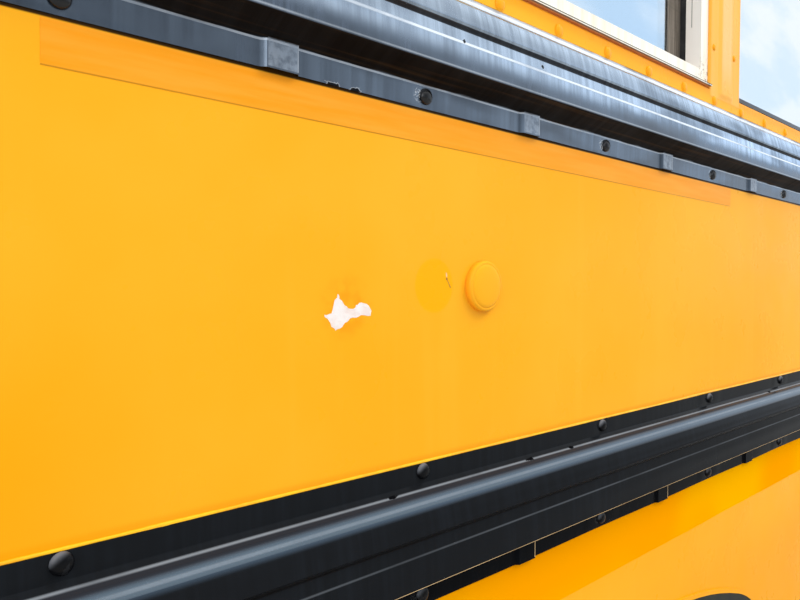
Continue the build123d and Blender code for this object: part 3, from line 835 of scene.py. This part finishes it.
sash_glass = pane("window_glass", (0.50, 0.69, 0.88), (0.78, 0.88, 0.96), 0.40, 0.72)
fixed_pane = pane("window_glass_fixed", (0.74, 0.86, 0.98), (0.97, 0.98, 0.99), 0.40, 0.62)
latch = latch_plastic()
plated = zinc_bolt()

NODE_FINISH = {
    # start of the nodes' names, finish
    "name_panel": yellow_marked, "skirt_panel": yellow_skirt, "belt_strip": yellow_belt,
    "header_panel": yellow, "drip_rail": yellow, "post_cover": yellow_chalked,
    "body_post": zinc, "floor_sill": zinc, "roof_rail": zinc, "sill_channels": zinc,
    "header_channels": zinc, "side_stringers": zinc, "skirt_braces": zinc,
    "arch_flange": underbody, "arch_trim": arch_rubber, "inner": lining, "seat_rail": lining,
    "window_frame": cream, "sash_seal": black_rubber, "lower_sash": bronze, "upper_sash": bronze,
    "window_glass": sash_glass, "sash_latches": latch, "fixed_gasket": gasket_rubber,
    "fixed_glass": fixed_pane, "upper_rub_rail": rail_upper, "lower_rub_rail": rail_lower,
    "skirt_rails": rail_skirt, "lamp": yellow_lamp,
}
for node_name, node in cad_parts.items():
    finish = next(made for start, made in NODE_FINISH.items() if node_name.startswith(start))
    node.data.materials.clear()
    node.data.materials.append(finish)


# Mesh helpers

def piece(name, shape, material, sharp, replaces=()):
    """A mesh in the wall's frame that rides on it, from its points and faces."""
    points, faces = shape
    mesh = bpy.data.meshes.new(name)
    mesh.from_pydata([tuple(point) for point in points], [], faces)
    mesh.validate()
    mesh.update()
    mesh.materials.append(material)
    mesh.shade_smooth()
    mesh.set_sharp_from_angle(angle=math.radians(sharp))
    made = bpy.data.objects.new(name, mesh)
    bpy.context.scene.collection.objects.link(made)
    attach(made, BODY)
    if replaces:
        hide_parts(*replaces)


def joined(parts):
    """Points and faces of several parts as one."""
    points = []
    faces = []
    for more, extra in parts:
        faces += [tuple(corner + len(points) for corner in face) for face in extra]
        points += more
    return points, faces


def ring_faces(rings, around, flip=False):
    """Quads between closed rings of points that are numbered ring after ring."""
    faces = []
    for a in range((rings - 1) * around):
        b = a + 1 if (a + 1) % around else a + 1 - around
        faces.append((a, a + around, b + around, b) if flip else (a, b, b + around, a + around))
    return faces


def closed_sheet(stations):
    """Points and faces of a sheet from its (outer line, inner line) at stations along X, all edges closed."""
    points = []
    for outer, inner in stations:
        points += outer + inner[::-1]
    around = 2 * len(stations[0][0])
    faces = ring_faces(len(stations), around, flip=True)
    last = (len(stations) - 1) * around
    for first, direction in ((0, 1), (last, -1)):
        for side in range(around // 2 - 1):
            opposite = first + around - 1 - side
            quad = (first + side, first + side + 1, opposite - 1, opposite)
            faces.append(quad[::direction])
    return points, faces


def turned(places, profile, outward, sides=28):
    """Points and faces of one turned head for each place, from (radius, rise) points, closed at both ends."""
    across = outward.cross(RIGHTWARD)
    turns = [2 * math.pi * side / sides for side in range(sides)]
    spokes = [RIGHTWARD * math.cos(turn) + across * math.sin(turn) for turn in turns]
    faces = ring_faces(len(profile), sides)
    faces.append(tuple(reversed(range(sides))))
    faces.append(tuple((len(profile) - 1) * sides + side for side in range(sides)))
    copies = []
    for place in places:
        middle = Vector(place)
        points = [middle + outward * rise + spoke * radius for radius, rise in profile for spoke in spokes]
        copies.append((points, faces))
    return joined(copies)


def dome(radius, rise, rings=7):
    """Profile of a round head with a short upright edge."""
    edge = rise * 0.18
    shoulder = radius * 0.985
    profile = [(radius * 0.98, 0.0), (radius, edge * 0.5), (shoulder, edge)]
    for ring in range(1, rings):
        turn = math.pi / 2 * ring / rings
        profile.append((shoulder * math.cos(turn), edge + (rise - edge) * math.sin(turn)))
    return profile


def heads(name, places, profile, outward, material):
    """Heads of one kind of fastener as one piece."""
    piece(name, turned(places, profile, outward), material, sharp=55)


def section_line(section):
    """A rail's outer section in millimetres, its bends rounded and its flats divided."""
    corners = [Vector((out, up, 0)) for out, up, _ in section]
    line = [corners[0]]
    for number in range(1, len(corners) - 1):
        corner = corners[number]
        radius = section[number][2]
        back = (corners[number - 1] - corner).normalized()
        ahead = (corners[number + 1] - corner).normalized()
        half = back.angle(ahead) / 2
        centre = corner + (back + ahead).normalized() * radius / math.sin(half)
        start = corner + back * radius / math.tan(half) - centre
        end = corner + ahead * radius / math.tan(half) - centre
        turns = max(3, math.ceil(math.degrees(start.angle(end)) / bend_part))
        line += [centre + start.slerp(end, turn / turns) for turn in range(turns + 1)]
    line.append(corners[-1])
    divided = [line[0]]
    for point in line[1:]:
        last = divided[-1]
        parts = math.ceil((point - last).length / flat_part)
        divided += [last.lerp(point, part / parts) for part in range(1, parts + 1)]
    return divided


def rail_stations(low, high):
    """Places along a rail, closer together at the joggles and bolts. Millimetres."""
    count = round((high - low) / station_step)
    places = [low + (high - low) * step / count for step in range(count + 1)]
    places += [x / MM + near for x in joggle_xs for near in joggle_stations]
    places += [x / MM + side * near for x in bolt_xs for side in (-1, 1) for near in bolt_stations]
    kept = [low]
    for place in sorted(places):
        if kept[-1] + station_gap < place < high - station_gap:
            kept.append(place)
    return kept + [high]


def rail_shift(out, up, x, base_z):
    """How far out a rail's face stands at x, with its joggles, dimples, slack, crowns and slow waves."""
    from_joggle = min((x - place / MM for place in joggle_xs), key=abs)
    from_bolt = min(abs(x - place / MM) for place in bolt_xs)
    pitch = bolt_pitch / MM
    if up < flange_top:
        loose = 1 - up / flange_top
        out += slack * math.sin(math.pi * min(from_bolt, pitch / 2) / pitch) ** 2 * loose
    if up < joggle_top and -joggle_left < from_joggle < joggle_right:
        foot = joggle_left if from_joggle < 0 else joggle_right
        pressed = joggle_out * min(1.0, (foot - abs(from_joggle)) / (foot - joggle_half))
        if up > flange_top:
            pressed -= joggle_groove
        out = max(out, pressed)
    for bolt_up in (bolt_low / MM, bolt_high / MM):
        if abs(up - bolt_up) < dimple_height and from_bolt < dimple_end:
            far = math.hypot(from_bolt, up - bolt_up) / dimple_reach
            out += dimple * (1 - dimple_sink * math.exp(-(far ** 2)))
    for low, high in crowned:
        if low < up < high:
            out += crown * math.sin(math.pi * (up - low) / (high - low)) ** 2
    if out > waved_out:
        out += wave * (noise.noise(Vector((x * 0.006, up * 0.02, base_z))) - 0.3)
        out = min(out, rail_out / MM)
    return out


def rail_point(x, point, normal, inside, base_z):
    """One point of a rail's outer or inner face at x. Millimetres in, metres out."""
    up = point.y
    out = rail_shift(point.x, up, x, base_z)
    if inside:
        out = max(least_out, out + normal.x * rail_sheet)
        up += normal.y * rail_sheet
    else:
        out = max(rail_sheet, out)
    return Vector((x * MM, -out * MM, base_z + up * MM))


def rub_rail(name, base_z, section, spans, material, node):
    """A corrugated rail as one sheet for each span."""
    line = section_line(section)
    normals = []
    for number in range(len(line)):
        ahead = line[min(number + 1, len(line) - 1)] - line[max(number - 1, 0)]
        normals.append(Vector((-ahead.y, ahead.x, 0)).normalized())
    sheets = []
    for low, high in spans:
        stations = []
        for x in rail_stations(low / MM, high / MM):
            outer = [rail_point(x, point, normal, False, base_z) for point, normal in zip(line, normals)]
            inner = [rail_point(x, point, normal, True, base_z) for point, normal in zip(line, normals)]
            stations.append((outer, inner))
        sheets.append(closed_sheet(stations))
    piece(name, joined(sheets), material, sharp=38, replaces=(node,))


def ragged(outline, jitter, parts, seed):
    """An outline with its edges broken up."""
    draw = random.Random(seed)
    broken = []
    for (x0, z0), (x1, z1) in zip(outline, outline[1:] + outline[:1]):
        for part in range(parts):
            share = part / parts
            wobble = jitter if part else jitter * 0.3
            broken.append((x0 + (x1 - x0) * share + draw.uniform(-wobble, wobble),
                           z0 + (z1 - z0) * share + draw.uniform(-wobble, wobble)))
    return broken


def wall_patch(name, outline, centre_x, centre_z, rise, material):
    """Thin patch on the skin from an outline in millimetres, clockwise as seen from outside."""
    count = len(outline)
    points = [(centre_x + x * MM, 0.0, centre_z + z * MM) for x, z in outline]
    points += [(x, -rise, z) for x, _, z in points]
    faces = [tuple(range(count)), tuple(count + number for number in reversed(range(count)))]
    faces += ring_faces(2, count, flip=True)
    piece(name, (points, faces), material, sharp=20)


def bead(name, z, rise, material, wobble, seed):
    """Run of sealant along the wall, a low half round of uneven width."""
    draw = random.Random(seed)
    count = 480
    sides = 6
    flatness = 0.7
    points = []
    for number in range(count + 1):
        x = start_x + (end_x - start_x) * number / count
        thick = rise * (1 + wobble * noise.noise(Vector((x * 14, seed, 0))) + draw.uniform(-0.08, 0.08))
        lift = 0.5 * rise * noise.noise(Vector((x * 5, seed, 3)))
        for side in range(sides + 1):
            turn = math.pi * side / sides
            points.append((x, -thick * flatness * math.sin(turn), z + lift - thick * math.cos(turn)))
    around = sides + 1
    faces = ring_faces(count + 1, around, flip=True)
    faces.append(tuple(range(around)))
    faces.append(tuple(count * around + side for side in reversed(range(around))))
    piece(name, (points, faces), material, sharp=70)


# Rails and the bolts through them, black with them

whole_length = [(start_x, end_x)]
rub_rail("upper_rail_sheet", upper_rail_z, rail_section, whole_length, rail_upper, "upper_rub_rail")
rub_rail("lower_rail_sheet", lower_rail_z, low_foot_section, whole_length, rail_lower, "lower_rub_rail")
rub_rail("skirt_rail_sheet", hem_z, low_foot_section, skirt_spans, rail_skirt, "skirt_rails")

flange_y = -rail_sheet * MM
upper_bolts = [(x, flange_y, upper_rail_z + bolt_low) for x in bolt_xs]
lower_bolts = [(x, flange_y, lower_rail_z + up) for x in bolt_xs for up in (bolt_low, bolt_high)]
skirt_bolts = [
    (x, flange_y, hem_z + up)
    for low, high in skirt_spans
    for x in bolt_xs
    for up in (bolt_low, bolt_high)
    if low + bolt_margin < x < high - bolt_margin
]
bolt_head = dome(bolt_r, bolt_rise)
heads("rail_bolts_upper", upper_bolts, bolt_head, OUTWARD, rail_bolt)
heads("rail_bolts_lower", lower_bolts, bolt_head, OUTWARD, rail_bolt)
heads("rail_bolts_skirt", skirt_bolts, bolt_head, OUTWARD, rail_bolt)

# Painted rivets along the belt strip and the header, and in two rows on each post

belt_rivet_pitch = bolt_pitch / 3
belt_rivet_z = sill_z - 17.5 * MM
rivet_margin = 10 * MM
rivet_xs = steps(bolt_first_x, belt_rivet_pitch, start_x + rivet_margin, end_x - rivet_margin)
belt_rivets = [(x, belt_y, belt_rivet_z) for x in rivet_xs]
heads("belt_rivets", belt_rivets, dome(8.2 * MM, 3.6 * MM), OUTWARD, yellow_rivet)

post_rivet_asides = (-51 * MM, 36 * MM)
post_rivet_pitch = 203 * MM
post_rivet_first = 826 * MM
post_rivet_low = sill_z + 30 * MM
post_rivet_high = header_z - 30 * MM
post_rivet_zs = steps(post_rivet_first, post_rivet_pitch, post_rivet_low, post_rivet_high)
post_rivets = [(x + aside, belt_y, z) for x in post_xs for aside in post_rivet_asides for z in post_rivet_zs]
heads("post_rivets", post_rivets, dome(5.4 * MM, 2.6 * MM), OUTWARD, yellow_rivet)

header_rivet_zs = (header_z + 14 * MM, roof_z + 18 * MM)
header_rivets = [(x, 0.0, z) for z in header_rivet_zs for x in rivet_xs]
heads("header_rivets", header_rivets, dome(6 * MM, 2.8 * MM), OUTWARD, yellow)

# Foot of each post cover, where its crown dies away into the belt strip

foot_half = 63 * MM
foot_low = sill_z - 11 * MM
foot_high = sill_z + 4 * MM
foot_skin = 0.15 * MM
foot_back = 1 * MM
foot_half_columns = 24
foot_rows = 10
crown_top_half = 22 * MM
crown_ramp = 10 * MM
crown_rise = belt_y - cover_y


def foot_out(x, z):
    """How far a post's foot stands off the belt strip's face at x from its middle, at height z."""
    across = max(0.0, min(1.0, (crown_top_half + crown_ramp - abs(x)) / crown_ramp))
    up = max(0.0, min(1.0, (z - foot_low) / (sill_z - foot_low)))
    return crown_rise * across * up * up * (3 - 2 * up) + foot_skin


def post_foot(post_x):
    """Sheet over one post's foot."""
    heights = [foot_low + (foot_high - foot_low) * row / foot_rows for row in range(foot_rows + 1)]
    stations = []
    for column in range(2 * foot_half_columns + 1):
        x = foot_half * (column / foot_half_columns - 1)
        front = [(post_x + x, belt_y - foot_out(x, z), z) for z in heights]
        back = [(post_x + x, belt_y + foot_back, z) for z in heights]
        stations.append((front, back))
    return closed_sheet(stations)


feet = joined([post_foot(post_x) for post_x in post_xs])
piece("post_feet", feet, yellow_chalked, sharp=60)

# Side lamp, painted over with the wall: rounded base ring, groove and low domed lens

lamp_profile = [
    # radius, rise, in millimetres
    (28.2, 0.0), (28.5, 0.4), (28.5, 4.2), (28.4, 5.2), (28.0, 6.2), (27.3, 7.0), (26.4, 7.5), (25.4, 7.7),
    (25.0, 7.6), (24.7, 7.4), (24.4, 7.6), (23.8, 8.1), (22.8, 8.6), (21.2, 9.0), (19.0, 9.35), (16.0, 9.62),
    (13.0, 9.8), (9.0, 9.92), (5.0, 9.98), (2.0, 10.0),
]
lamp_rings = [(radius * MM, rise * MM) for radius, rise in lamp_profile]
lamp_shape = turned([(lamp_x, 0.0, lamp_z)], lamp_rings, OUTWARD, sides=96)
piece("side_lamp", lamp_shape, yellow_lamp, sharp=60, replaces=("lamp_base", "lamp_lens"))

# Chip in the paint down to the pale primer, as offsets in millimetres from its middle

chip_outline = [
    (-13.2, 15.1), (-10.9, 10.6), (-4.7, 4.6), (2.3, 1.0), (8.5, 2.8), (13.1, 6.5), (22.4, 5.3), (28.6, -1.3),
    (27.7, -6.1), (15.4, -5.0), (4.6, -7.3), (-1.6, -10.9), (-7.7, -15.7), (-15.5, -18.7), (-20.1, -14.9),
    (-24.7, -7.3), (-28.6, -3.8), (-20.1, -2.5), (-17.1, 7.0),
]
primer = flat_patch("bare_primer", (0.86, 0.72, 0.66), (0.90, 0.84, 0.80), 60, 0.7, 0.0006)
wall_patch("paint_chip", ragged(chip_outline, 0.9, 3, 5), chip_x, chip_z, 0.15 * MM, primer)

# Nick and scratch at the edge of the unfaded disc

nick_x = -365.0 * MM
nick_z = 423.0 * MM
nick_pale = [(-1.2, 5.5), (0.3, 5.2), (1.2, 1.0), (-0.6, 0.4)]
nick_dark = [(-0.8, 1.4), (1.2, 1.0), (1.4, -0.8), (-0.4, -1.2)]
nick_scratch = [(0.9, -1.5), (1.7, -1.5), (6.8, -9.6), (5.8, -9.9)]
dark_mark = flat_patch("nick_dark", (0.20, 0.06, 0.02), (0.42, 0.16, 0.04), 300, 0.6, 0.0002)
pale_mark = flat_patch("nick_pale", (0.90, 0.62, 0.40), (0.92, 0.52, 0.20), 200, 0.6, 0.0002)
wall_patch("nick_pale", nick_pale, nick_x, nick_z, 0.12 * MM, pale_mark)
wall_patch("nick_dark", nick_dark, nick_x, nick_z - 1.5 * MM, 0.2 * MM, dark_mark)
wall_patch("nick_scratch", nick_scratch, nick_x, nick_z - 1.0 * MM, 0.12 * MM, dark_mark)

# Bare strip of tape under the upper rail, and the sealant along the lower one

tape_left = -768
tape_right = 394
tape_low = 561
tape_high = upper_rail_z / MM - 3
tape_outline = [
    (tape_left, tape_low), (tape_left, tape_high), (tape_right, tape_high), (tape_right, tape_low),
]
wall_patch("panel_tape", tape_outline, 0.0, 0.0, 0.25 * MM, tape_film(tape_low * MM))

sealant = flat_patch("sealant_yellow", (0.98, 0.52, 0.002), (0.98, 0.42, 0.002), 40, 0.35, 0.0004)
bead("rail_sealant", lower_rail_top + 0.6 * MM, 1.8 * MM, sealant, 0.35, 3)

# Screws on the inside: lining, header and sill cap

screw_head = dome(5 * MM, 2.4 * MM, rings=5)
screw_aside = 18 * MM
lining_screw_zs = (30 * MM, 160 * MM, 270 * MM, 450 * MM, 580 * MM, 690 * MM)
header_screw_zs = (1425 * MM, 1485 * MM)
cap_screw_y = lining_y + 13 * MM
lining_screws = [
    (x, lining_y, z)
    for post_x in post_xs
    for x in (post_x - screw_aside, post_x + screw_aside)
    for z in lining_screw_zs
]
header_screw_xs = steps(post_xs[0], post_pitch / 4, start_x, end_x)
header_screws = [(x, lining_y, z) for x in header_screw_xs for z in header_screw_zs]
heads("lining_screws", lining_screws + header_screws, screw_head, INWARD, plated)
cap_screws = [(x, cap_screw_y, cap_top) for x in steps(post_xs[0], post_pitch / 3, start_x, end_x)]
heads("cap_screws", cap_screws, screw_head, UPWARD, plated)

# Hexagon bolts under the floor sill and in the roof rail, in their pattern of holes

hexagon = [(9.2 * MM, 0.0), (9.2 * MM, 5.4 * MM), (8.2 * MM, 6.2 * MM)]
washer = [(10.5 * MM, 0.0), (10.5 * MM, 1.6 * MM), (10.2 * MM, 1.9 * MM)]
hexagon_rise = 1.8 * MM
pattern_y = 45 * MM
channel_sheet = 3 * MM


def hex_bolts(name, wide, deep, z, outward):
    """Four bolts with washers at each of the two middle posts."""
    places = [
        Vector((post_x + side * wide / 2, pattern_y + row * deep / 2, z))
        for post_x in post_xs[1:3] for side in (-1, 1) for row in (-1, 1)
    ]
    raised = [place + outward * hexagon_rise for place in places]
    shape = joined([turned(places, washer, outward), turned(raised, hexagon, outward, sides=6)])
    piece(name, shape, plated, sharp=30)


hex_bolts("floor_bolts", 160 * MM, 30 * MM, -channel_sheet, -UPWARD)
hex_bolts("roof_bolts", 150 * MM, 36 * MM, roof_z + channel_sheet, UPWARD)


# Floor, light and camera

reach = 40.0
floor_z = hem_z - 2 * MM
floor_outline = ((-reach, -reach), (reach, -reach), (reach, reach), (-reach, reach))
floor_corners = [(x, y, floor_z) for x, y in floor_outline]
floor_mesh = bpy.data.meshes.new("floor")
floor_mesh.from_pydata(floor_corners, [], [(0, 1, 2, 3)])
floor = bpy.data.objects.new("floor", floor_mesh)
bpy.context.scene.collection.objects.link(floor)
floor_finish = Finish("floor_pale")
floor_finish.set(base_color=(0.45, 0.45, 0.44), roughness=0.9, specular=0.2)
floor_mesh.materials.append(floor_finish.material)

SKY_BLUE = (0.84, 0.93, 1.04)
SKY_WHITE = (1.0, 1.0, 0.99)
SKY_GROUND = (0.15, 0.15, 0.15)
world = bpy.data.worlds.new("studio")
bpy.context.scene.world = world
world.use_nodes = True
sky = Nodes(world.node_tree, "Generated")
up = sky.z
right = sky.x
side_light = sky.most(sky.band(right, 0.25, 0.85, 0.50, 1.05), sky.band(right, 0.10, -0.40, 0.50, 1.0))
high_light = sky.band(up, 0.10, 0.60, 0.0, 1.10)
sky_color = sky.mix(sky.band(up, 0.10, 0.75), SKY_BLUE, SKY_WHITE)
lit = sky.mix(1.0, sky_color, sky.most(side_light, high_light), blend="MULTIPLY")
lit = sky.mix(sky.band(up, -0.12, -0.07), SKY_GROUND, lit)
background = world.node_tree.nodes["Background"]
sky.feed(background.inputs["Color"], lit)
background.inputs["Strength"].default_value = 1.0


def softbox(name, place, aim, size, power, mirrored):
    """A rectangular lamp at a place, turned to its aim, seen in reflections or not."""
    lamp = bpy.data.lights.new(name, "AREA")
    lamp.shape = "RECTANGLE"
    lamp.size, lamp.size_y = size
    lamp.energy = power
    made = bpy.data.objects.new(name, lamp)
    bpy.context.scene.collection.objects.link(made)
    made.visible_glossy = mirrored
    made.location = place
    made.rotation_euler = (Vector(aim) - Vector(place)).to_track_quat("-Z", "Y").to_euler()


softbox("key", (2.0, -2.2, 4.1), (0.0, 0.0, 0.45), (3.4, 2.0), 156, mirrored=False)
softbox("side", (-3.4, -0.30, 1.05), (0.2, 0.0, 1.0), (1.2, 1.2), 13, mirrored=False)
softbox("fill", (-3.2, -1.7, 1.4), (0.2, 0.0, 0.6), (2.4, 2.0), 26, mirrored=True)

# Camera, fitted to the bolts of the photograph
camera_place = Vector((-0.919, -0.508, 0.415))
yaw = math.radians(43.69)
pitch = math.radians(1.24)
roll = math.radians(0.36)
forward = Vector((math.cos(pitch) * math.sin(yaw), math.cos(pitch) * math.cos(yaw), -math.sin(pitch)))
unrolled_right = Vector((math.cos(yaw), -math.sin(yaw), 0))
unrolled_up = unrolled_right.cross(forward)
camera_right = unrolled_right * math.cos(roll) + unrolled_up * math.sin(roll)
camera_up = unrolled_up * math.cos(roll) - unrolled_right * math.sin(roll)
camera_turn = Matrix((camera_right, camera_up, -forward)).transposed()
camera_data = bpy.data.cameras.new("camera")
camera_data.lens = 31.5
camera_data.sensor_width = 36
camera_data.clip_start = 0.02
camera = bpy.data.objects.new("camera", camera_data)
bpy.context.scene.collection.objects.link(camera)
camera.matrix_world = Matrix.Translation(camera_place) @ camera_turn.to_4x4()
bpy.context.scene.camera = camera
bpy.context.scene.view_settings.view_transform = "Standard"
